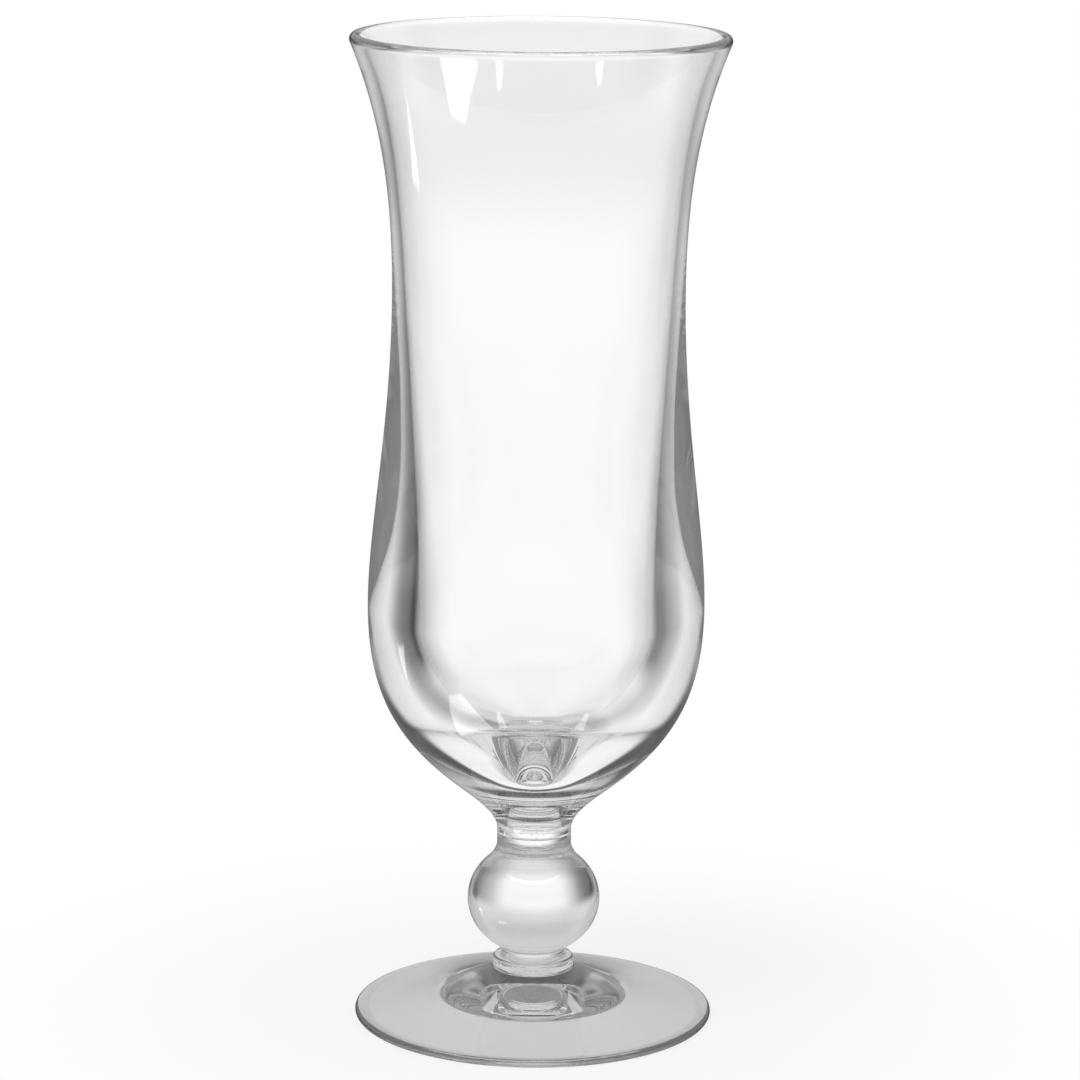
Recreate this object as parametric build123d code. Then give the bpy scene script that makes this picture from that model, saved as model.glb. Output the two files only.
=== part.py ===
from build123d import *
import math
import os

# Footed hurricane glass in clear moulded plastic: a flared bowl on a ball stem and a round foot,
# held together by two spigot joints that are filled with a cured bond.
# Millimetres. +Z runs up the axis, and the origin is the centre of the plane that the foot rests on.
# Every piece is turned about Z from an outline of (radius, height) points.

# Foot
FOOT_RADIUS = 38.5
FOOT_WALL = 1.7
FOOT_HEIGHT = 13.0  # rest plane to the collar's top
REST_WIDTH = 3.2  # from the outer edge to the inside of the ring that touches the table
HUB_RADIUS = 20.0  # where the plate turns up into the hub
HUB_BASE_HEIGHT = 4.8  # top of the plate at the hub
HUB_BLEND = 8.0
COLLAR_HEIGHT = 2.5
COLLAR_LEDGE = 1.9  # how far the collar stands out past the stem
COLLAR_FILLET = 0.6
COLLAR_ROUND = 0.5
FOOT_SOCKET_ROOM = 1.8  # free depth under the stem's spigot
FOOT_SOCKET_ROUND = 1.8

# Ball stem
BALL_RADIUS = 14.23
BALL_HALF_HEIGHT = 12.25
LOWER_NECK_RADIUS = 6.75
LOWER_NECK_LENGTH = 1.85  # from where it leaves the ball to the shoulder on the foot
LOWER_BLEND = 0.7
LOWER_SHOULDER = 1.1  # step from the lower neck down to its spigot
LOWER_SPIGOT_LENGTH = 3.2
UPPER_NECK_LENGTH = 4.6  # from where it leaves the ball to the seam with the bowl
UPPER_BLEND = 2.1
UPPER_SPIGOT_LENGTH = 3.0
SPIGOT_CHAMFER = 0.4

# Bond
BOND_GAP = 0.15
BEAD_SIZE = 0.45  # squeezed out round the stem, on the foot's collar

# Bowl, with heights from its seam with the stem
NECK_RADIUS = 7.95
NECK_WALL = 2.2  # round the blind socket
NECK_SOCKET_DEPTH = 13.5
NECK_SOCKET_ROUND = 3.0
SHOULDER_RADIUS = 16.25  # where the base turns from hollow to full
SHOULDER_HEIGHT = 10.5
SHOULDER_SLOPE = 37.6  # degrees above level
BULGE_RADIUS = 35.84
BULGE_HEIGHT = 49.9
WAIST_RADIUS = 30.8
WAIST_HEIGHT = 118.1
BOWL_HEIGHT = 171.3
RIM_RADIUS = 39.8
RIM_SLOPE = 67.5  # degrees above level
LIP_THICKNESS = 2.5

# Cavity of the bowl
WAIST_WALL = 2.45
CAVITY_DRAFT = 2.25  # degrees that the straight wall leans out
CAVITY_ROUND_HEIGHT = 19.3  # from the cone of the floor up to the straight wall
FLOOR_HEIGHT = 19.85  # from the seam to the lowest point inside
FLOOR_SLOPE = 32.0  # degrees above level
FLOOR_EDGE_RADIUS = 17.6  # where the cone of the floor begins to turn up into the wall
FLOOR_TIP_ROUND = 11.0

# How far each curve keeps its end direction, as a share of the height it spans
NECK_PULL = 0.21
FILLET_PULL = 0.98
SHOULDER_PULL = 0.42
BULGE_PULL_BELOW = 0.50
BULGE_PULL_ABOVE = 0.255
WAIST_PULL_BELOW = 0.435
WAIST_PULL_ABOVE = 0.414
RIM_PULL = 0.285
CAVITY_PULL = 0.56
ROUND_PULL = 0.50
FLOOR_PULL = 0.48  # as a share of the width it spans
BLEND_PULL = 0.6  # of the way to the corner that a blend rounds off


def ball_rise(radius):
    """Height of the ball's surface above its middle, at a radius."""
    return BALL_HALF_HEIGHT * math.sqrt(1 - (radius / BALL_RADIUS) ** 2)


def ball_slope(radius):
    """Fall of the ball's upper surface for each millimetre outwards, at a radius."""
    return BALL_HALF_HEIGHT**2 * radius / (BALL_RADIUS**2 * ball_rise(radius))


# Radii and heights that follow from the sizes above
collar_radius = LOWER_NECK_RADIUS + COLLAR_LEDGE
lower_spigot_radius = LOWER_NECK_RADIUS - LOWER_SHOULDER
foot_socket_radius = lower_spigot_radius + BOND_GAP
neck_socket_radius = NECK_RADIUS - NECK_WALL
upper_spigot_radius = neck_socket_radius - BOND_GAP

stem_bottom = FOOT_HEIGHT + BOND_GAP
ball_middle = stem_bottom + LOWER_NECK_LENGTH + ball_rise(LOWER_NECK_RADIUS)
stem_top = ball_middle + ball_rise(NECK_RADIUS) + UPPER_NECK_LENGTH
bowl_seam = stem_top + BOND_GAP


def turned(edges):
    """Solid of revolution about Z from a closed chain of edges drawn as (radius, height)."""
    return revolve(Plane.XZ * make_face(edges), Axis.Z)


def toward(start, end, share):
    """Point that lies a share of the way from start to end."""
    return (start[0] + share * (end[0] - start[0]), start[1] + share * (end[1] - start[1]))


def blend(start, corner, end):
    """Smooth curve from start to end that rounds off the corner between them."""
    return Bezier(start, toward(start, corner, BLEND_PULL), toward(end, corner, BLEND_PULL), end)


def make_foot():
    """Thin sloped plate with a rounded edge, a thick hub, a collar and a blind socket for the stem."""
    edge_radius = FOOT_WALL / 2
    plate_end = FOOT_RADIUS - edge_radius
    pad_height = HUB_BASE_HEIGHT - FOOT_WALL
    hub_top = FOOT_HEIGHT - COLLAR_HEIGHT
    socket_floor = stem_bottom - LOWER_SPIGOT_LENGTH - FOOT_SOCKET_ROOM
    top = FilletPolyline(
        (plate_end, FOOT_WALL),
        (HUB_RADIUS, HUB_BASE_HEIGHT),
        (collar_radius, hub_top),
        (collar_radius, FOOT_HEIGHT),
        (foot_socket_radius, FOOT_HEIGHT),
        (foot_socket_radius, socket_floor),
        (0, socket_floor),
        radius=[HUB_BLEND, COLLAR_FILLET, COLLAR_ROUND, 0, FOOT_SOCKET_ROUND],
    )
    underside = FilletPolyline(
        (0, pad_height),
        (HUB_RADIUS, pad_height),
        (FOOT_RADIUS - REST_WIDTH, 0),
        (plate_end, 0),
        radius=[HUB_BLEND, 0],
    )
    axis = Line((0, socket_floor), (0, pad_height))
    edge = ThreePointArc((plate_end, 0), (FOOT_RADIUS, edge_radius), (plate_end, FOOT_WALL))
    return turned([top, axis, underside, edge])


def ball_point(radius, side):
    """Point on the ball's surface, above its middle (side 1) or below it (side -1)."""
    return (radius, ball_middle + side * ball_rise(radius))


def ball_blend(neck_radius, reach, side):
    """Curve from the ball to a neck: where it leaves the ball, where it joins the neck, and the curve."""
    start = ball_point(neck_radius + reach, side)
    corner_height = start[1] + side * ball_slope(start[0]) * reach
    end = (neck_radius, corner_height + side * reach)
    return start, end, blend(start, (neck_radius, corner_height), end)


def make_ball_stem():
    """Solid flattened ball with a short neck and a chamfered spigot at each end."""
    lower_start, lower_end, lower_curve = ball_blend(LOWER_NECK_RADIUS, LOWER_BLEND, -1)
    upper_start, upper_end, upper_curve = ball_blend(NECK_RADIUS, UPPER_BLEND, 1)
    lower_tip = stem_bottom - LOWER_SPIGOT_LENGTH
    upper_tip = stem_top + UPPER_SPIGOT_LENGTH
    lower = Polyline(
        (0, lower_tip),
        (lower_spigot_radius - SPIGOT_CHAMFER, lower_tip),
        (lower_spigot_radius, lower_tip + SPIGOT_CHAMFER),
        (lower_spigot_radius, stem_bottom),
        (LOWER_NECK_RADIUS, stem_bottom),
        lower_end,
    )
    upper = Polyline(
        upper_end,
        (NECK_RADIUS, stem_top),
        (upper_spigot_radius, stem_top),
        (upper_spigot_radius, upper_tip - SPIGOT_CHAMFER),
        (upper_spigot_radius - SPIGOT_CHAMFER, upper_tip),
        (0, upper_tip),
    )
    lower_angle = math.degrees(math.acos(lower_start[0] / BALL_RADIUS))
    upper_angle = math.degrees(math.acos(upper_start[0] / BALL_RADIUS))
    ball = EllipticalCenterArc(
        (0, ball_middle),
        BALL_RADIUS,
        BALL_HALF_HEIGHT,
        start_angle=-lower_angle,
        arc_size=lower_angle + upper_angle,
    )
    axis = Line((0, upper_tip), (0, lower_tip))
    return turned([lower, lower_curve, ball, upper_curve, upper, axis])


def make_foot_bond():
    """Cured sleeve round the lower spigot, with a flange under the shoulder and a bead outside it."""
    sleeve_end = stem_bottom - LOWER_SPIGOT_LENGTH + SPIGOT_CHAMFER
    bead_foot = (LOWER_NECK_RADIUS + BEAD_SIZE, FOOT_HEIGHT)
    bead_top = (LOWER_NECK_RADIUS, stem_bottom + BEAD_SIZE)
    body = Polyline(
        bead_top,
        (LOWER_NECK_RADIUS, stem_bottom),
        (lower_spigot_radius, stem_bottom),
        (lower_spigot_radius, sleeve_end),
        (foot_socket_radius, sleeve_end),
        (foot_socket_radius, FOOT_HEIGHT),
        bead_foot,
    )
    bead = blend(bead_foot, (LOWER_NECK_RADIUS, FOOT_HEIGHT), bead_top)
    return turned([body, bead])


def make_neck_bond():
    """Cured sleeve round the upper spigot, with a flange that ends flush with the neck."""
    sleeve_end = stem_top + UPPER_SPIGOT_LENGTH - SPIGOT_CHAMFER
    outline = Polyline(
        (NECK_RADIUS, stem_top),
        (NECK_RADIUS, bowl_seam),
        (neck_socket_radius, bowl_seam),
        (neck_socket_radius, sleeve_end),
        (upper_spigot_radius, sleeve_end),
        (upper_spigot_radius, stem_top),
        close=True,
    )
    return turned([outline])


def make_bowl():
    """Thick-based cup with a flared, rounded rim and a neck with a blind socket under it."""
    shoulder = (SHOULDER_RADIUS, bowl_seam + SHOULDER_HEIGHT)
    bulge = (BULGE_RADIUS, bowl_seam + BULGE_HEIGHT)
    waist = (WAIST_RADIUS, bowl_seam + WAIST_HEIGHT)
    socket_top = bowl_seam + NECK_SOCKET_DEPTH
    lip_radius = LIP_THICKNESS / 2
    lip_middle = (RIM_RADIUS - lip_radius, bowl_seam + BOWL_HEIGHT - lip_radius)

    def beside(point, angle, distance):
        """Point at a distance from another, in a direction in degrees above level."""
        turn = math.radians(angle)
        return (point[0] + distance * math.cos(turn), point[1] + distance * math.sin(turn))

    def above(point, distance):
        return (point[0], point[1] + distance)

    # Outside, from the neck up to the lip
    fillet_span = SHOULDER_HEIGHT
    base_span = BULGE_HEIGHT - SHOULDER_HEIGHT
    body_span = WAIST_HEIGHT - BULGE_HEIGHT
    flare_span = BOWL_HEIGHT - WAIST_HEIGHT
    seat = (NECK_RADIUS, bowl_seam)
    fillet_curve = Bezier(
        seat,
        above(seat, NECK_PULL * fillet_span),
        beside(shoulder, SHOULDER_SLOPE, -FILLET_PULL * fillet_span),
        shoulder,
    )
    base_curve = Bezier(
        shoulder,
        beside(shoulder, SHOULDER_SLOPE, SHOULDER_PULL * base_span),
        above(bulge, -BULGE_PULL_BELOW * base_span),
        bulge,
    )
    body_curve = Bezier(
        bulge,
        above(bulge, BULGE_PULL_ABOVE * body_span),
        above(waist, -WAIST_PULL_BELOW * body_span),
        waist,
    )

    def flare(foot_point, foot_slope, pull, lip_point):
        return Bezier(
            foot_point,
            beside(foot_point, foot_slope, pull * flare_span),
            beside(lip_point, RIM_SLOPE, -RIM_PULL * flare_span),
            lip_point,
        )

    lip_outside = beside(lip_middle, RIM_SLOPE - 90, lip_radius)
    lip_crest = beside(lip_middle, RIM_SLOPE, lip_radius)
    lip_inside = beside(lip_middle, RIM_SLOPE + 90, lip_radius)

    # Inside, from the lip down a straight leaning wall to a cone with a round tip
    cavity_waist = (WAIST_RADIUS - WAIST_WALL, waist[1])
    wall_slope = 90 - CAVITY_DRAFT
    tip_middle = (0, bowl_seam + FLOOR_HEIGHT + FLOOR_TIP_ROUND)
    floor = above(tip_middle, -FLOOR_TIP_ROUND)
    tip_halfway = beside(tip_middle, FLOOR_SLOPE / 2 - 90, FLOOR_TIP_ROUND)
    tip_edge = beside(tip_middle, FLOOR_SLOPE - 90, FLOOR_TIP_ROUND)
    cone_width = FLOOR_EDGE_RADIUS - tip_edge[0]
    floor_edge = beside(tip_edge, FLOOR_SLOPE, cone_width / math.cos(math.radians(FLOOR_SLOPE)))
    wall_height = waist[1] - floor_edge[1] - CAVITY_ROUND_HEIGHT
    wall_foot = beside(cavity_waist, wall_slope, -wall_height / math.cos(math.radians(CAVITY_DRAFT)))
    round_curve = Bezier(
        wall_foot,
        beside(wall_foot, wall_slope, -ROUND_PULL * CAVITY_ROUND_HEIGHT),
        beside(floor_edge, FLOOR_SLOPE, FLOOR_PULL * (wall_foot[0] - FLOOR_EDGE_RADIUS)),
        floor_edge,
    )
    socket = FilletPolyline(
        floor,
        (0, socket_top),
        (neck_socket_radius, socket_top),
        (neck_socket_radius, bowl_seam),
        seat,
        radius=[0, NECK_SOCKET_ROUND, 0],
    )
    return turned(
        [
            fillet_curve,
            base_curve,
            body_curve,
            flare(waist, 90, WAIST_PULL_ABOVE, lip_outside),
            ThreePointArc(lip_outside, lip_crest, lip_inside),
            flare(cavity_waist, wall_slope, CAVITY_PULL, lip_inside),
            Line(cavity_waist, wall_foot),
            round_curve,
            Line(floor_edge, tip_edge),
            ThreePointArc(tip_edge, tip_halfway, floor),
            socket,
        ]
    )


PIECES = {
    "bowl": make_bowl,
    "neck_bond": make_neck_bond,
    "ball_stem": make_ball_stem,
    "foot_bond": make_foot_bond,
    "foot": make_foot,
}

os.makedirs("parts", exist_ok=True)
for name, make in PIECES.items():
    export_step(make(), f"parts/{name}.step")
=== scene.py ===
import math

import bpy
from mathutils import Euler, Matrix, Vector


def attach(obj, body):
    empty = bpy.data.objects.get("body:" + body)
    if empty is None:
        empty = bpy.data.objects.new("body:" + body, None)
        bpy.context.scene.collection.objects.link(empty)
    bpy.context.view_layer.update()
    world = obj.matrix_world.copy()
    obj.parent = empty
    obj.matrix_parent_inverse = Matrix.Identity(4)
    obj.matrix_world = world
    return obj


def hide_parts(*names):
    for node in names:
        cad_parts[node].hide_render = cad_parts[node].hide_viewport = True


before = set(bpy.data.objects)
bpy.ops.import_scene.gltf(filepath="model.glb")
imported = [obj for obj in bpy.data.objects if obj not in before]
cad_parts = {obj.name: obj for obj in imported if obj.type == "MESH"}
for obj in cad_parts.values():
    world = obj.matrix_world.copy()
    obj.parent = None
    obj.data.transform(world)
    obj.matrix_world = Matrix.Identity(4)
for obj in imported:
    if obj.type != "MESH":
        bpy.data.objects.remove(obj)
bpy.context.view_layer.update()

# Looks of a footed hurricane glass in clear moulded plastic. Every visible piece is turned finely about Z
# from the same outline as its solid, so that light bends smoothly through it.
# Outlines are (radius, height) in millimetres, and MM turns them into metres.

MM = 0.001
TURNS = 288  # facets round the axis
CURVE_STEPS = 40  # points along one curve of an outline
SHARP_ANGLE = math.radians(35)
SAME_PLACE = 1e-6  # points of an outline closer than this, in millimetres, are one point
RIGHT_ANGLE = 90  # in degrees, as all slopes and drafts are

# Foot
FOOT_RADIUS = 38.5
FOOT_WALL = 1.7
FOOT_HEIGHT = 13.0
REST_WIDTH = 3.2
HUB_RADIUS = 20.0
HUB_BASE_HEIGHT = 4.8
HUB_BLEND = 8.0
COLLAR_HEIGHT = 2.5
COLLAR_LEDGE = 1.9
COLLAR_FILLET = 0.6
COLLAR_ROUND = 0.5
FOOT_SOCKET_ROOM = 1.8
FOOT_SOCKET_ROUND = 1.8

# Ball stem
BALL_RADIUS = 14.23
BALL_HALF_HEIGHT = 12.25
LOWER_NECK_RADIUS = 6.75
LOWER_NECK_LENGTH = 1.85
LOWER_BLEND = 0.7
LOWER_SHOULDER = 1.1
LOWER_SPIGOT_LENGTH = 3.2
UPPER_NECK_LENGTH = 4.6
UPPER_BLEND = 2.1
UPPER_SPIGOT_LENGTH = 3.0
SPIGOT_CHAMFER = 0.4

# Bond
BOND_GAP = 0.15
BEAD_SIZE = 0.45
JOIN_GAP = 0.02  # between joined faces, because faces in the same place would stop the light

# Bowl, with heights from its seam with the stem
NECK_RADIUS = 7.95
NECK_WALL = 2.2
NECK_SOCKET_DEPTH = 13.5
NECK_SOCKET_ROUND = 3.0
SHOULDER_RADIUS = 16.25
SHOULDER_HEIGHT = 10.5
SHOULDER_SLOPE = 37.6
BULGE_RADIUS = 35.84
BULGE_HEIGHT = 49.9
WAIST_RADIUS = 30.8
WAIST_HEIGHT = 118.1
BOWL_HEIGHT = 171.3
RIM_RADIUS = 39.8
RIM_SLOPE = 67.5
LIP_THICKNESS = 2.5

# Cavity of the bowl
WAIST_WALL = 2.45
CAVITY_DRAFT = 2.25
CAVITY_ROUND_HEIGHT = 19.3
FLOOR_HEIGHT = 19.85
FLOOR_SLOPE = 32.0
FLOOR_EDGE_RADIUS = 17.6
FLOOR_TIP_ROUND = 11.0

# How far each curve keeps its end direction, as a share of the height it spans
NECK_PULL = 0.21
FILLET_PULL = 0.98
SHOULDER_PULL = 0.42
BULGE_PULL_BELOW = 0.50
BULGE_PULL_ABOVE = 0.255
WAIST_PULL_BELOW = 0.435
WAIST_PULL_ABOVE = 0.414
RIM_PULL = 0.285
CAVITY_PULL = 0.56
ROUND_PULL = 0.50
FLOOR_PULL = 0.48
BLEND_PULL = 0.6

# Clear plastic and bond
PLASTIC_IOR = 1.585
BONDED_IOR = 1  # no bend, where the bond has filled the gap
PLASTIC_TINT = (0.998, 0.998, 0.998, 1)
PLASTIC_FLOW_TINT = (0.990, 0.993, 0.994, 1)
BOND_TINT = (0.980, 0.982, 0.978, 1)
BUBBLE_TINT = (0.90, 0.91, 0.91, 1)
WHITE = (1, 1, 1, 1)
FLOW_SCALE = 45.0  # marks per metre, as the other scales of noise are
FLOW_DETAIL = 2
FLOW_SPREAD = (0.3, 0.7)  # values of the noise between which the flow tint comes in
WAVE_SCALE = 80.0
WAVE_DETAIL = 0
WAVE_HEIGHT = 0.00001  # in metres
SMUDGE_SCALE = 260.0
SMUDGE_DETAIL = 4
SMUDGE_SPREAD = (0.60, 0.75)  # values of the noise between which a smudge on the plastic comes in
SMUDGE_ROUGHNESS = 0.02
BOND_SPREAD = (0.5, 0.75)  # the same, on the bond
BOND_ROUGHNESS = 0.06
BUBBLES_PER_METRE = 900.0
BUBBLE_SIZE = 0.28  # share of the room that each bubble has
BUBBLE_HEART = 0.6  # share of a bubble's size within which it is full
CLEAR, BONDED = 0, 1  # material slots of a piece: open surface, and surface joined by the bond
SEAT = CLEAR  # the flanges beside the spigots have drawn away from the plastic, so they show


def ball_rise(radius):
    return BALL_HALF_HEIGHT * math.sqrt(1 - (radius / BALL_RADIUS) ** 2)


def ball_slope(radius):
    return BALL_HALF_HEIGHT**2 * radius / (BALL_RADIUS**2 * ball_rise(radius))


collar_radius = LOWER_NECK_RADIUS + COLLAR_LEDGE
lower_spigot_radius = LOWER_NECK_RADIUS - LOWER_SHOULDER
foot_socket_radius = lower_spigot_radius + BOND_GAP
neck_socket_radius = NECK_RADIUS - NECK_WALL
upper_spigot_radius = neck_socket_radius - BOND_GAP
stem_bottom = FOOT_HEIGHT + BOND_GAP
ball_middle = stem_bottom + LOWER_NECK_LENGTH + ball_rise(LOWER_NECK_RADIUS)
stem_top = ball_middle + ball_rise(NECK_RADIUS) + UPPER_NECK_LENGTH
bowl_seam = stem_top + BOND_GAP
lower_sleeve_end = stem_bottom - LOWER_SPIGOT_LENGTH + SPIGOT_CHAMFER
upper_sleeve_end = stem_top + UPPER_SPIGOT_LENGTH - SPIGOT_CHAMFER
waist_height = bowl_seam + WAIST_HEIGHT
lip_radius = LIP_THICKNESS / 2
lip_middle = (RIM_RADIUS - lip_radius, bowl_seam + BOWL_HEIGHT - lip_radius)


# Curves of an outline, each a list of points

def toward(start, end, share):
    return (start[0] + share * (end[0] - start[0]), start[1] + share * (end[1] - start[1]))


def beside(point, angle, distance):
    turn = math.radians(angle)
    return (point[0] + distance * math.cos(turn), point[1] + distance * math.sin(turn))


def above(point, distance):
    return (point[0], point[1] + distance)


def bezier(a, b, c, d):
    points = []
    for step in range(CURVE_STEPS + 1):
        t = step / CURVE_STEPS
        weights = ((1 - t) ** 3, 3 * (1 - t) ** 2 * t, 3 * (1 - t) * t**2, t**3)
        points.append(tuple(sum(w * p[k] for w, p in zip(weights, (a, b, c, d))) for k in (0, 1)))
    return points


def blend(start, corner, end):
    return bezier(start, toward(start, corner, BLEND_PULL), toward(end, corner, BLEND_PULL), end)


def ellipse(middle, width, height, start_angle, end_angle):
    points = []
    for step in range(CURVE_STEPS + 1):
        angle = math.radians(start_angle + (end_angle - start_angle) * step / CURVE_STEPS)
        points.append((middle[0] + width * math.cos(angle), middle[1] + height * math.sin(angle)))
    return points


def rounded(before, corner, after, radius):
    """Arc of a radius that rounds off a corner between two straight runs."""
    a = (Vector(before) - Vector(corner)).normalized()
    b = (Vector(after) - Vector(corner)).normalized()
    half = a.angle(b) / 2
    middle = Vector(corner) + (a + b).normalized() * radius / math.sin(half)
    start = Vector(corner) + a * radius / math.tan(half) - middle
    sweep = start.angle_signed(Vector(corner) + b * radius / math.tan(half) - middle)
    points = []
    for step in range(CURVE_STEPS + 1):
        turn = -sweep * step / CURVE_STEPS
        c, s = math.cos(turn), math.sin(turn)
        points.append((middle.x + c * start.x - s * start.y, middle.y + s * start.x + c * start.y))
    return points


# Meshes turned from an outline

def joined(runs, closed):
    """Points of all runs in turn, and for each point the surface that leads up to it."""
    outline, surfaces = [], []
    for surface, points in runs:
        for point in points:
            if outline and math.dist(outline[-1], point) < SAME_PLACE:
                continue
            outline.append(point)
            surfaces.append(surface)
    if closed and math.dist(outline[0], outline[-1]) < SAME_PLACE:
        outline.pop()
        surfaces[0] = surfaces.pop()
    return outline, surfaces


def ring(radius, height):
    """Places round the axis, or the one place on it."""
    count = 1 if radius < SAME_PLACE else TURNS
    places = []
    for k in range(count):
        angle = 2 * math.pi * k / TURNS
        places.append((MM * radius * math.cos(angle), MM * radius * math.sin(angle), MM * height))
    return places


def strip(first, second):
    """Faces between two rings of vertices, of which one may be a single vertex on the axis."""
    faces = []
    for k in range(TURNS):
        n = (k + 1) % TURNS
        if len(first) == 1:
            faces.append((first[0], second[n], second[k]))
        elif len(second) == 1:
            faces.append((first[k], first[n], second[0]))
        else:
            faces.append((first[k], first[n], second[n], second[k]))
    return faces


def turned(name, runs, closed=False):
    """Mesh turned about Z from runs of (surface, points) that follow each other along the outline."""
    outline, surfaces = joined(runs, closed)
    verts, rings = [], []
    for radius, height in outline:
        places = ring(radius, height)
        rings.append(range(len(verts), len(verts) + len(places)))
        verts += places
    faces, slots = [], []
    last = len(outline) if closed else len(outline) - 1
    for i in range(last):
        j = (i + 1) % len(outline)
        faces += strip(rings[i], rings[j])
        slots += [surfaces[j]] * TURNS
    mesh = bpy.data.meshes.new(name)
    mesh.from_pydata(verts, [], faces)
    mesh.polygons.foreach_set("material_index", slots)
    mesh.shade_smooth()
    mesh.set_sharp_from_angle(angle=SHARP_ANGLE)
    piece = bpy.data.objects.new(name, mesh)
    bpy.context.scene.collection.objects.link(piece)
    return piece


# Pieces. Each outline runs with the solid on its left.

def bowl_socket():
    """Blind socket in the bowl's neck, from the axis out and down."""
    top = bowl_seam + NECK_SOCKET_DEPTH
    wall = (neck_socket_radius, upper_sleeve_end)
    corner = rounded((0, top), (neck_socket_radius, top), wall, NECK_SOCKET_ROUND)
    return [(0, top)] + corner + [wall]


def flare(waist, slope, pull, lip_point):
    """Curve from a waist up to the lip."""
    span = BOWL_HEIGHT - WAIST_HEIGHT
    return bezier(
        waist,
        beside(waist, slope, pull * span),
        beside(lip_point, RIM_SLOPE, -RIM_PULL * span),
        lip_point,
    )


def bowl_outside():
    """Outside of the bowl, from its seam with the stem up to the lip."""
    seat = (NECK_RADIUS, bowl_seam)
    shoulder = (SHOULDER_RADIUS, bowl_seam + SHOULDER_HEIGHT)
    bulge = (BULGE_RADIUS, bowl_seam + BULGE_HEIGHT)
    waist = (WAIST_RADIUS, waist_height)
    lip_outside = beside(lip_middle, RIM_SLOPE - RIGHT_ANGLE, lip_radius)
    base_span = BULGE_HEIGHT - SHOULDER_HEIGHT
    body_span = WAIST_HEIGHT - BULGE_HEIGHT
    points = bezier(
        seat,
        above(seat, NECK_PULL * SHOULDER_HEIGHT),
        beside(shoulder, SHOULDER_SLOPE, -FILLET_PULL * SHOULDER_HEIGHT),
        shoulder,
    )
    points += bezier(
        shoulder,
        beside(shoulder, SHOULDER_SLOPE, SHOULDER_PULL * base_span),
        above(bulge, -BULGE_PULL_BELOW * base_span),
        bulge,
    )
    points += bezier(
        bulge,
        above(bulge, BULGE_PULL_ABOVE * body_span),
        above(waist, -WAIST_PULL_BELOW * body_span),
        waist,
    )
    return points + flare(waist, RIGHT_ANGLE, WAIST_PULL_ABOVE, lip_outside)


def cavity_floor():
    """Outer edge of the cavity's cone-shaped floor, and the round tip down to the axis."""
    turn = math.radians(FLOOR_SLOPE)
    middle = bowl_seam + FLOOR_HEIGHT + FLOOR_TIP_ROUND
    tip_edge = (FLOOR_TIP_ROUND * math.sin(turn), middle - FLOOR_TIP_ROUND * math.cos(turn))
    edge = beside(tip_edge, FLOOR_SLOPE, (FLOOR_EDGE_RADIUS - tip_edge[0]) / math.cos(turn))
    tip = ellipse((0, middle), FLOOR_TIP_ROUND, FLOOR_TIP_ROUND, FLOOR_SLOPE - RIGHT_ANGLE, -RIGHT_ANGLE)
    return edge, tip


def bowl_inside():
    """Cavity of the bowl, from the lip down to the tip of its floor."""
    waist = (WAIST_RADIUS - WAIST_WALL, waist_height)
    lip_inside = beside(lip_middle, RIM_SLOPE + RIGHT_ANGLE, lip_radius)
    floor_edge, tip = cavity_floor()
    slope = RIGHT_ANGLE - CAVITY_DRAFT
    wall_height = waist_height - floor_edge[1] - CAVITY_ROUND_HEIGHT
    wall_foot = beside(waist, slope, -wall_height / math.cos(math.radians(CAVITY_DRAFT)))
    corner = bezier(
        wall_foot,
        beside(wall_foot, slope, -ROUND_PULL * CAVITY_ROUND_HEIGHT),
        beside(floor_edge, FLOOR_SLOPE, FLOOR_PULL * (wall_foot[0] - FLOOR_EDGE_RADIUS)),
        floor_edge,
    )
    return flare(waist, slope, CAVITY_PULL, lip_inside)[::-1] + corner + tip


def bowl_runs():
    lip = ellipse(lip_middle, lip_radius, lip_radius, RIM_SLOPE - RIGHT_ANGLE, RIM_SLOPE + RIGHT_ANGLE)
    return [
        (CLEAR, bowl_socket()),
        (BONDED, [(neck_socket_radius, bowl_seam)]),
        (SEAT, [(NECK_RADIUS, bowl_seam)]),
        (CLEAR, bowl_outside() + lip + bowl_inside()),
    ]


def neck_bond_runs():
    bottom, top = stem_top + JOIN_GAP, bowl_seam - JOIN_GAP
    inner, outer = upper_spigot_radius + JOIN_GAP, neck_socket_radius - JOIN_GAP
    return [
        (CLEAR, [(NECK_RADIUS, bottom), (NECK_RADIUS, top)]),
        (SEAT, [(outer, top)]),
        (BONDED, [(outer, upper_sleeve_end)]),
        (CLEAR, [(inner, upper_sleeve_end)]),
        (BONDED, [(inner, bottom)]),
        (SEAT, [(NECK_RADIUS, bottom)]),
    ]


def ball_blend(neck_radius, reach, side):
    """Curve from the ball to a neck, on its upper side (1) or lower side (-1)."""
    start = (neck_radius + reach, ball_middle + side * ball_rise(neck_radius + reach))
    corner_height = start[1] + side * ball_slope(start[0]) * reach
    end = (neck_radius, corner_height + side * reach)
    return blend(start, (neck_radius, corner_height), end)


def ball_angle(radius):
    """Angle of the ellipse at which the ball has a radius."""
    return math.degrees(math.acos(radius / BALL_RADIUS))


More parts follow.
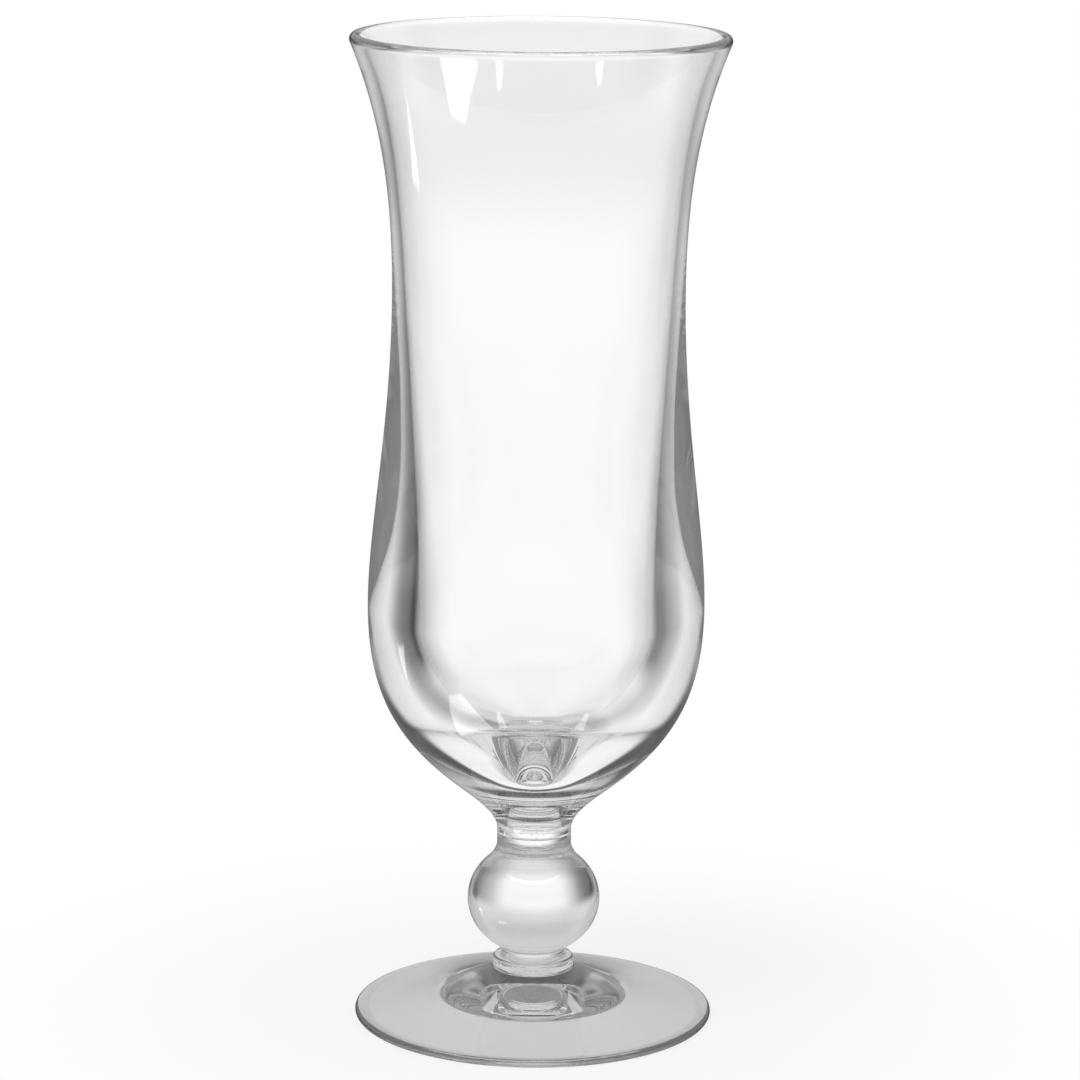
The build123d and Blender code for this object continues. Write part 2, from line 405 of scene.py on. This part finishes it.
def ball_stem_runs():
    lower_curve = ball_blend(LOWER_NECK_RADIUS, LOWER_BLEND, -1)[::-1]
    upper_curve = ball_blend(NECK_RADIUS, UPPER_BLEND, 1)
    lower_tip = stem_bottom - LOWER_SPIGOT_LENGTH
    upper_tip = stem_top + UPPER_SPIGOT_LENGTH
    lower_angle = ball_angle(LOWER_NECK_RADIUS + LOWER_BLEND)
    upper_angle = ball_angle(NECK_RADIUS + UPPER_BLEND)
    ball = ellipse((0, ball_middle), BALL_RADIUS, BALL_HALF_HEIGHT, -lower_angle, upper_angle)
    return [
        (CLEAR, [(0, lower_tip), (lower_spigot_radius - SPIGOT_CHAMFER, lower_tip)]),
        (CLEAR, [(lower_spigot_radius, lower_sleeve_end)]),
        (BONDED, [(lower_spigot_radius, stem_bottom)]),
        (SEAT, [(LOWER_NECK_RADIUS, stem_bottom)]),
        (BONDED, [(LOWER_NECK_RADIUS, stem_bottom + BEAD_SIZE)]),
        (CLEAR, lower_curve + ball + upper_curve + [(NECK_RADIUS, stem_top)]),
        (SEAT, [(upper_spigot_radius, stem_top)]),
        (BONDED, [(upper_spigot_radius, upper_sleeve_end)]),
        (CLEAR, [(upper_spigot_radius - SPIGOT_CHAMFER, upper_tip), (0, upper_tip)]),
    ]


def foot_bond_runs():
    bottom, top = FOOT_HEIGHT + JOIN_GAP, stem_bottom - JOIN_GAP
    inner, outer = lower_spigot_radius + JOIN_GAP, foot_socket_radius - JOIN_GAP
    neck = LOWER_NECK_RADIUS + JOIN_GAP
    bead_foot = (LOWER_NECK_RADIUS + BEAD_SIZE, bottom)
    bead_top = (neck, stem_bottom + BEAD_SIZE)
    return [
        (CLEAR, blend(bead_foot, (neck, bottom), bead_top)),
        (BONDED, [(neck, top)]),
        (SEAT, [(inner, top)]),
        (BONDED, [(inner, lower_sleeve_end)]),
        (CLEAR, [(outer, lower_sleeve_end)]),
        (BONDED, [(outer, bottom)]),
        (SEAT, [bead_foot]),
    ]


def foot_runs():
    edge_radius = FOOT_WALL / 2
    plate_end = (FOOT_RADIUS - edge_radius, FOOT_WALL)
    hub_base = (HUB_RADIUS, HUB_BASE_HEIGHT)
    hub_top = (collar_radius, FOOT_HEIGHT - COLLAR_HEIGHT)
    collar_top = (collar_radius, FOOT_HEIGHT)
    mouth = (foot_socket_radius, FOOT_HEIGHT)
    socket_floor = stem_bottom - LOWER_SPIGOT_LENGTH - FOOT_SOCKET_ROOM
    socket_corner = (foot_socket_radius, socket_floor)
    pad_height = HUB_BASE_HEIGHT - FOOT_WALL
    pad = [(0, pad_height), (HUB_RADIUS, pad_height), (FOOT_RADIUS - REST_WIDTH, 0)]
    underside = [pad[0]] + rounded(*pad, HUB_BLEND) + [pad[2], (FOOT_RADIUS - edge_radius, 0)]
    edge_middle = (FOOT_RADIUS - edge_radius, edge_radius)
    edge = ellipse(edge_middle, edge_radius, edge_radius, -RIGHT_ANGLE, RIGHT_ANGLE)
    top = rounded(plate_end, hub_base, hub_top, HUB_BLEND)
    top += rounded(hub_base, hub_top, collar_top, COLLAR_FILLET)
    top += rounded(hub_top, collar_top, mouth, COLLAR_ROUND)
    socket_end = rounded(mouth, socket_corner, (0, socket_floor), FOOT_SOCKET_ROUND)
    return [
        (CLEAR, underside + edge + top + [(LOWER_NECK_RADIUS + BEAD_SIZE, FOOT_HEIGHT)]),
        (SEAT, [mouth]),
        (BONDED, [(foot_socket_radius, lower_sleeve_end)]),
        (CLEAR, socket_end + [(0, socket_floor)]),
    ]


# Nodes

def ramp(tree, value, low, high, low_value, high_value, easing="SMOOTHSTEP"):
    """Value that goes from low_value to high_value while the input goes from low to high."""
    node = tree.nodes.new("ShaderNodeMapRange")
    node.interpolation_type = easing
    limits = {"From Min": low, "From Max": high, "To Min": low_value, "To Max": high_value}
    for name, number in limits.items():
        node.inputs[name].default_value = number
    tree.links.new(value, node.inputs["Value"])
    return node.outputs["Result"]


def feed(tree, socket, value):
    """Give a socket a number, or the value of another socket."""
    if isinstance(value, (int, float)):
        socket.default_value = value
    else:
        tree.links.new(value, socket)


def maths(tree, operation, *values):
    node = tree.nodes.new("ShaderNodeMath")
    node.operation = operation
    for socket, value in zip(node.inputs, values):
        feed(tree, socket, value)
    return node.outputs[0]


def mixed(tree, share, first, second):
    """First value at a share of 0, second value at a share of 1."""
    node = tree.nodes.new("ShaderNodeMix")
    share_in, _, first_in, second_in = node.inputs[:4]
    feed(tree, share_in, share)
    feed(tree, first_in, first)
    feed(tree, second_in, second)
    return node.outputs[0]


# Materials

def new_material(name):
    material = bpy.data.materials.new(name)
    material.use_nodes = True
    return material, material.node_tree


def noise(tree, scale, detail):
    """Even noise between about 0.3 and 0.7, fixed to the piece."""
    coords = tree.nodes.new("ShaderNodeTexCoord")
    node = tree.nodes.new("ShaderNodeTexNoise")
    node.inputs["Scale"].default_value = scale
    node.inputs["Detail"].default_value = detail
    tree.links.new(coords.outputs["Object"], node.inputs["Vector"])
    return node.outputs["Fac"]


def two_tints(tree, share, first, second):
    """First tint at a share of 0, second tint at a share of 1."""
    node = tree.nodes.new("ShaderNodeMix")
    node.data_type = "RGBA"
    share_in, first_in, second_in = node.inputs[0], node.inputs[6], node.inputs[7]  # the colour sockets
    tree.links.new(share, share_in)
    first_in.default_value = first
    second_in.default_value = second
    return node.outputs[2]


def bubbles(tree):
    """1 inside scattered small bubbles and 0 elsewhere."""
    coords = tree.nodes.new("ShaderNodeTexCoord")
    node = tree.nodes.new("ShaderNodeTexVoronoi")
    node.inputs["Scale"].default_value = BUBBLES_PER_METRE
    tree.links.new(coords.outputs["Object"], node.inputs["Vector"])
    return ramp(tree, node.outputs["Distance"], BUBBLE_HEART * BUBBLE_SIZE, BUBBLE_SIZE, 1, 0)


def see_through(shader, ior):
    shader.inputs["Transmission Weight"].default_value = 1
    shader.inputs["IOR"].default_value = ior


def clear_plastic():
    """Water-clear moulded plastic with a faint waviness, faint flow marks and a few fine smudges."""
    material, tree = new_material("clear_plastic")
    shader = tree.nodes["Principled BSDF"]
    see_through(shader, PLASTIC_IOR)
    flow = ramp(tree, noise(tree, FLOW_SCALE, FLOW_DETAIL), *FLOW_SPREAD, 0, 1)
    tree.links.new(two_tints(tree, flow, PLASTIC_TINT, PLASTIC_FLOW_TINT), shader.inputs["Base Color"])
    smudge = ramp(tree, noise(tree, SMUDGE_SCALE, SMUDGE_DETAIL), *SMUDGE_SPREAD, 0, SMUDGE_ROUGHNESS)
    tree.links.new(smudge, shader.inputs["Roughness"])
    waves = tree.nodes.new("ShaderNodeBump")
    waves.inputs["Distance"].default_value = WAVE_HEIGHT
    tree.links.new(noise(tree, WAVE_SCALE, WAVE_DETAIL), waves.inputs["Height"])
    tree.links.new(waves.outputs["Normal"], shader.inputs["Normal"])
    return material


def clear_bond():
    """Cured clear bond at an open seam, a little greyer than the plastic and with small bubbles."""
    material, tree = new_material("clear_bond")
    shader = tree.nodes["Principled BSDF"]
    see_through(shader, PLASTIC_IOR)
    tint = two_tints(tree, bubbles(tree), BOND_TINT, BUBBLE_TINT)
    tree.links.new(tint, shader.inputs["Base Color"])
    smudge = ramp(tree, noise(tree, SMUDGE_SCALE, SMUDGE_DETAIL), *BOND_SPREAD, 0, BOND_ROUGHNESS)
    tree.links.new(smudge, shader.inputs["Roughness"])
    return material


def bonded_face():
    """Surface that the bond has made one with its neighbour: light goes straight on, dimmer at bubbles."""
    material, tree = new_material("bonded_face")
    shader = tree.nodes["Principled BSDF"]
    see_through(shader, BONDED_IOR)
    shader.inputs["Roughness"].default_value = 0
    tint = two_tints(tree, bubbles(tree), WHITE, BUBBLE_TINT)
    tree.links.new(tint, shader.inputs["Base Color"])
    return material


def dress():
    surfaces = {"clear_plastic": clear_plastic(), "clear_bond": clear_bond()}
    bonded = bonded_face()
    runs = {
        "bowl": (bowl_runs(), False, "clear_plastic"),
        "neck_bond": (neck_bond_runs(), True, "clear_bond"),
        "ball_stem": (ball_stem_runs(), False, "clear_plastic"),
        "foot_bond": (foot_bond_runs(), True, "clear_bond"),
        "foot": (foot_runs(), False, "clear_plastic"),
    }
    for node, (outline, closed, slot) in runs.items():
        piece = turned("glass_" + node, outline, closed)
        piece.data.materials.append(surfaces[slot])
        piece.data.materials.append(bonded)
        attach(piece, "root")
        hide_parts(node)


dress()

# Camera, as the photograph was taken
CAMERA_DISTANCE = 0.9086
CAMERA_HEIGHT = 0.3001
CAMERA_PITCH = math.radians(12.142)
CAMERA_ROLL = math.radians(0.509)
CAMERA_SHIFT = 0.00306
SENSOR_WIDTH = 36.0
FOCAL_LENGTH = 145.92


def add_camera():
    camera = bpy.data.objects.new("camera", bpy.data.cameras.new("camera"))
    camera.data.sensor_width = SENSOR_WIDTH
    camera.data.lens = FOCAL_LENGTH
    camera.data.shift_x = CAMERA_SHIFT
    camera.location = (0, -CAMERA_DISTANCE, CAMERA_HEIGHT)
    look = Euler((math.radians(RIGHT_ANGLE) - CAMERA_PITCH, 0, 0)).to_matrix()
    roll = Euler((0, 0, CAMERA_ROLL)).to_matrix()
    camera.rotation_euler = (look @ roll).to_euler()
    bpy.context.scene.collection.objects.link(camera)
    bpy.context.scene.camera = camera


add_camera()

# Studio, as tones by direction

# There is a white panel behind the glass, with dark flags beside it, a pale front and a greyer room above,
# which has a dark band behind and a bright ceiling. The tones began as a fit to the photograph's own tones
# and were then changed for likeness, so they stand for no measured lamps. Azimuths are in degrees
# from straight behind the glass, positive to the right. Elevations are in degrees above level.
SURROUND = (  # azimuth and tone just below level
    (-180, 0.92),
    (-112, 0.87),
    (-76, 0.60),
    (-64, 0.18),
    (-60, 0.06),
    (-45, 0.17),
    (-38, 0.31),
    (-21, 0.96),
    (-17, 1.00),
    (17, 1.00),
    (21, 0.96),
    (33, 0.58),
    (55, 0.18),
    (63, 0.17),
    (69, 0.45),
    (76, 0.66),
    (112, 0.87),
    (180, 0.92),
)
SURROUND_LOW = (  # azimuth and tone further down
    (-180, 0.50),
    (-125, 0.56),
    (-98, 0.10),
    (-88, 0.26),
    (-76, 0.82),
    (-56, 0.46),
    (-45, 0.44),
    (-12, 0.97),
    (14, 1.00),
    (45, 0.66),
    (76, 0.90),
    (88, 0.34),
    (98, 0.14),
    (125, 0.56),
    (180, 0.50),
)
ROOM_BEHIND = (  # elevation and tone above level
    (0, 0.75),
    (30, 0.62),
    (54, 0.60),
    (60, 0.03),
    (74, 0.03),
    (84, 0.95),
    (90, 0.95),
)
ROOM_IN_FRONT = (
    (0, 0.72),
    (24, 0.41),
    (40, 0.72),
    (58, 0.74),
    (78, 0.95),
    (90, 0.95),
)
FLAGS = (  # azimuth, elevation, half width, half height, softness, and share of the light missing there
    (0, 12, 30, 8, 24, 0.20),
    (-61, -23, 3, 8, 6, 0.85),
    (60, -5, 6, 3, 8, 0.55),
    (-88, 44, 10, 27, 14, 0.74),
    (86, 24, 8, 8, 12, 0.70),
)
WALL_PAINTED_SHADE = (0, 6, 140, 38, 16, 0.60)  # painted shade: the same, for light that the walls guide
ROOM_TURN = (60, 105)  # azimuths between which the room behind gives way to the room in front
LEVEL_EDGE = (-10, 1)  # elevations between which the surround gives way to the room
LOW_EDGE = (-42, -28)  # elevations between which the low surround gives way to the surround
PAINTED_HIGHLIGHTS = (  # painted highlights, bright only in first reflections and lighting nothing: azimuth, half width at the bottom and top, lowest and highest elevation
    (-117, 22, 6, -53, -32),
    (-149, 5, 2, -53, -42),
    (-73, 1, 5, -27, -16),
    (136, 6, 2, -53, -42),
    (0, 200, 200, 55, 88),  # painted highlight of a ceiling, all the way round
)
HIGHLIGHT_SOFTNESS = 2
# brightness of the painted highlights
HIGHLIGHT_TONE = 4.0
STEEP = (-54, -46)  # painted light: elevations below which the light that the walls guide comes out bright
STEEP_PAINTED_LIGHT = 1.0
EDGE_PAINTED_SHADE = 0.15  # painted shade: share of the tone behind the glass that its outer edges mirror
EDGE_AZIMUTHS = (45, 80)  # and where that ends, to the sides
EDGE_ELEVATIONS = (1, 9)  # and upwards
INNER_PAINTED_SHADE = 0.15  # painted shade: share of the room's tone in light that one piece has turned back inside

# Kinds of light, by the depths of a ray
MIRRORED_DEPTH = 2.5  # ray depth below which a glossy ray is a first reflection
GUIDED_DEPTH = 2.5  # glossy depth above which the walls have guided the light
TURNED_BACK = (1.5, 1.0)  # glossy depth of light turned back once or twice, and how far off it may be
ONE_PIECE = (2, 0.5)  # transmission depth of light that went into and out of one piece, likewise


def tones(tree, angle, stops):
    """Tone that follows stops of (angle, tone)."""
    node = tree.nodes.new("ShaderNodeValToRGB")
    low, high = stops[0][0], stops[-1][0]
    elements = node.color_ramp.elements
    while len(elements) < len(stops):
        elements.new(1)
    for element, (place, tone) in zip(elements, stops):
        element.position = (place - low) / (high - low)
        element.color = (tone, tone, tone, 1)
    share = maths(tree, "MULTIPLY_ADD", angle, 1 / (high - low), -low / (high - low))
    tree.links.new(share, node.inputs[0])
    return node.outputs[0]


def surround_tone(tree, azimuth, elevation):
    """Tone below level."""
    low = ramp(tree, elevation, *LOW_EDGE, 1, 0)
    return mixed(tree, low, tones(tree, azimuth, SURROUND), tones(tree, azimuth, SURROUND_LOW))


def room_tone(tree, azimuth, elevation):
    """Tone of the room above level."""
    turn = ramp(tree, maths(tree, "ABSOLUTE", azimuth), *ROOM_TURN, 0, 1)
    return mixed(tree, turn, tones(tree, elevation, ROOM_BEHIND), tones(tree, elevation, ROOM_IN_FRONT))


def flagged(tree, tone, azimuth, elevation, flag):
    """Tone with a dark flag in front of it."""
    flag_azimuth, flag_elevation, half_width, half_height, softness, missing = flag
    sides = ((azimuth, flag_azimuth, half_width), (elevation, flag_elevation, half_height))
    for angle, middle, half in sides:
        away = maths(tree, "ABSOLUTE", maths(tree, "SUBTRACT", angle, middle))
        near = ramp(tree, away, half - softness / 2, half + softness / 2, 1, 0)
        missing = maths(tree, "MULTIPLY", near, missing)
    return maths(tree, "MULTIPLY", tone, maths(tree, "SUBTRACT", 1, missing))


def painted_highlight_tone(tree, azimuth, elevation, highlight):
    """Brightness of one tapered painted highlight."""
    middle, wide, narrow, lowest, highest = highlight
    aside = maths(tree, "ABSOLUTE", maths(tree, "SUBTRACT", azimuth, middle))
    half_width = ramp(tree, elevation, lowest, highest, wide, narrow, "LINEAR")
    across = ramp(tree, maths(tree, "SUBTRACT", half_width, aside), 0, HIGHLIGHT_SOFTNESS, 0, 1)
    over = ramp(tree, elevation, highest - HIGHLIGHT_SOFTNESS, highest, 1, 0)
    under = ramp(tree, elevation, lowest - HIGHLIGHT_SOFTNESS, lowest, 0, 1)
    upright = maths(tree, "MULTIPLY", over, under)
    return maths(tree, "MULTIPLY", maths(tree, "MULTIPLY", across, HIGHLIGHT_TONE), upright)


def directions(tree):
    """Azimuth and elevation that a ray looks in."""
    coords = tree.nodes.new("ShaderNodeTexCoord")
    split = tree.nodes.new("ShaderNodeSeparateXYZ")
    tree.links.new(coords.outputs["Generated"], split.inputs[0])
    x, y, z = split.outputs
    azimuth = maths(tree, "DEGREES", maths(tree, "ARCTAN2", x, y))
    elevation = maths(tree, "DEGREES", maths(tree, "ARCSINE", z))
    return azimuth, elevation


def plain_tone(tree, azimuth, elevation, above_level):
    """Tone of the surround and the room, with the flags in front of them."""
    surround = surround_tone(tree, azimuth, elevation)
    tone = mixed(tree, above_level, surround, room_tone(tree, azimuth, elevation))
    for flag in FLAGS:
        tone = flagged(tree, tone, azimuth, elevation, flag)
    return tone


def painted_guided_tone(tree, tone, depths, azimuth, elevation):
    """Painted shade and painted light: light guided by the walls is made darker round the glass and bright
    from far below.
    """
    guided = maths(tree, "GREATER_THAN", depths["Glossy Depth"], GUIDED_DEPTH)
    *place, missing = WALL_PAINTED_SHADE
    missing = maths(tree, "MULTIPLY", guided, missing)
    tone = flagged(tree, tone, azimuth, elevation, (*place, missing))
    steep = ramp(tree, elevation, *STEEP, 1, 0)
    return mixed(tree, maths(tree, "MULTIPLY", guided, steep), tone, STEEP_PAINTED_LIGHT)


def painted_edge_shade(tree, tone, mirrored, azimuth, elevation):
    """Painted shade: first reflections of the tone behind the glass are made darker."""
    behind = ramp(tree, maths(tree, "ABSOLUTE", azimuth), *EDGE_AZIMUTHS, 1, 0)
    behind = maths(tree, "MULTIPLY", behind, ramp(tree, elevation, *EDGE_ELEVATIONS, 1, 0))
    edge = maths(tree, "MULTIPLY", mirrored, behind)
    return maths(tree, "MULTIPLY", tone, mixed(tree, edge, 1, EDGE_PAINTED_SHADE))


def painted_inner_shade(tree, tone, depths, above_level):
    """Painted shade: light turned back once or twice inside one piece is made darker above level."""
    turned_back = maths(tree, "COMPARE", depths["Glossy Depth"], *TURNED_BACK)
    one_piece = maths(tree, "COMPARE", depths["Transmission Depth"], *ONE_PIECE)
    inner = maths(tree, "MULTIPLY", maths(tree, "MULTIPLY", turned_back, one_piece), above_level)
    return maths(tree, "MULTIPLY", tone, mixed(tree, inner, 1, INNER_PAINTED_SHADE))


def studio_world():
    world = bpy.data.worlds.new("studio")
    world.use_nodes = True
    tree = world.node_tree
    tree.nodes.clear()
    azimuth, elevation = directions(tree)
    above_level = ramp(tree, elevation, *LEVEL_EDGE, 0, 1)
    depths = tree.nodes.new("ShaderNodeLightPath").outputs
    first = maths(tree, "LESS_THAN", depths["Ray Depth"], MIRRORED_DEPTH)
    mirrored = maths(tree, "MULTIPLY", depths["Is Glossy Ray"], first)
    tone = plain_tone(tree, azimuth, elevation, above_level)
    # painted shade and painted light on light that the walls guide
    tone = painted_guided_tone(tree, tone, depths, azimuth, elevation)
    # painted shade on the glass's outer edges, in first reflections
    tone = painted_edge_shade(tree, tone, mirrored, azimuth, elevation)
    # painted shade on light turned back inside one piece
    tone = painted_inner_shade(tree, tone, depths, above_level)
    # painted highlights, seen in first reflections only
    for highlight in PAINTED_HIGHLIGHTS:
        bright = painted_highlight_tone(tree, azimuth, elevation, highlight)
        tone = maths(tree, "MULTIPLY_ADD", bright, mirrored, tone)
    seen = maths(tree, "MAXIMUM", tone, depths["Is Camera Ray"])
    background = tree.nodes.new("ShaderNodeBackground")
    tree.links.new(seen, background.inputs["Color"])
    output = tree.nodes.new("ShaderNodeOutputWorld")
    tree.links.new(background.outputs[0], output.inputs[0])
    bpy.context.scene.world = world


# Stage, lamp and render settings

STAGE_RADIUS = 0.16
STAGE_SIDES = 96
STAGE_SHADE = 0.20  # share of the stage's tone that its own shading gives close to the glass
STAGE_PLAIN = 0.15  # distance from the axis, in metres, at which the stage has faded to plain white
STAGE_TONE = 0.9
STAGE_PAINTED_TONE_THROUGH = 0.2  # painted shade: the stage's tone as the glass shows it, in reflections and through it
STAGE_THROUGH = 0.35  # share of the stage that shows through the glass, close by
STAGE_NEAR = 0.040  # and it is gone between these distances, where the glass looks on to the studio
STAGE_FAR = 0.060


def axis_distance(tree):
    """Distance of a place on the stage from the axis of the glass."""
    coords = tree.nodes.new("ShaderNodeTexCoord")
    distance = tree.nodes.new("ShaderNodeVectorMath")
    distance.operation = "LENGTH"
    tree.links.new(coords.outputs["Object"], distance.inputs[0])
    return distance.outputs["Value"]


def two_shaders(tree, share, first, second):
    """First shader at a share of 0, second shader at a share of 1."""
    node = tree.nodes.new("ShaderNodeMixShader")
    for socket, value in zip(node.inputs, (share, first.outputs[0], second.outputs[0])):
        tree.links.new(value, socket)
    return node


def stage_material():
    """White that shows the glass's shadow close by, and that the glass itself mostly looks past; where the
    glass shows it, it is painted darker.
    """
    material, tree = new_material("stage")
    shade = tree.nodes["Principled BSDF"]
    shade.inputs["Roughness"].default_value = 1
    shade.inputs["Specular IOR Level"].default_value = 0
    plain = tree.nodes.new("ShaderNodeEmission")
    plain.inputs["Color"].default_value = WHITE
    clear = tree.nodes.new("ShaderNodeBsdfTransparent")
    rays = tree.nodes.new("ShaderNodeLightPath").outputs
    distance = axis_distance(tree)
    away = ramp(tree, distance, FOOT_RADIUS * MM, STAGE_PLAIN, 1 - STAGE_SHADE, 1)
    lit = two_shaders(tree, maths(tree, "MULTIPLY", rays["Is Camera Ray"], away), shade, plain)
    through = maths(tree, "MAXIMUM", rays["Is Glossy Ray"], rays["Is Transmission Ray"])
    # painted shade: the stage is darker in glossy and transmission rays
    tree.links.new(mixed(tree, through, STAGE_TONE, STAGE_PAINTED_TONE_THROUGH), shade.inputs["Base Color"])
    gone = ramp(tree, distance, STAGE_NEAR, STAGE_FAR, 1 - STAGE_THROUGH, 1)
    seen = two_shaders(tree, maths(tree, "MULTIPLY", through, gone), lit, clear)
    tree.links.new(seen.outputs[0], tree.nodes["Material Output"].inputs["Surface"])
    return material


def add_stage():
    """Pale floor that keeps the glass's shadow close by and fades to plain white further out."""
    bpy.ops.mesh.primitive_circle_add(vertices=STAGE_SIDES, radius=STAGE_RADIUS, fill_type="NGON")
    stage = bpy.context.object
    stage.name = "stage"
    stage.data.materials.append(stage_material())


LAMP_PLACE = (-0.45, -0.55, 0.95)
LAMP_SIZE = 0.5
LAMP_POWER = 4.0


def add_lamp():
    """Soft box above the glass, to the left and front."""
    lamp = bpy.data.objects.new("soft_box", bpy.data.lights.new("soft_box", "AREA"))
    lamp.data.shape = "SQUARE"
    lamp.data.size = LAMP_SIZE
    lamp.data.energy = LAMP_POWER
    lamp.location = LAMP_PLACE
    lamp.rotation_euler = Vector(LAMP_PLACE).to_track_quat("Z", "Y").to_euler()
    lamp.visible_glossy = False
    lamp.visible_transmission = False
    bpy.context.scene.collection.objects.link(lamp)


BOUNCES = 160  # many, because light turns back often inside the wall on its way to the rim
TRANSPARENT_BOUNCES = 24


def set_render():
    scene = bpy.context.scene
    scene.view_settings.view_transform = "Standard"
    scene.cycles.max_bounces = BOUNCES
    scene.cycles.transmission_bounces = BOUNCES
    scene.cycles.glossy_bounces = BOUNCES
    scene.cycles.transparent_max_bounces = TRANSPARENT_BOUNCES
    scene.cycles.use_denoising = True


studio_world()
add_stage()
add_lamp()
set_render()
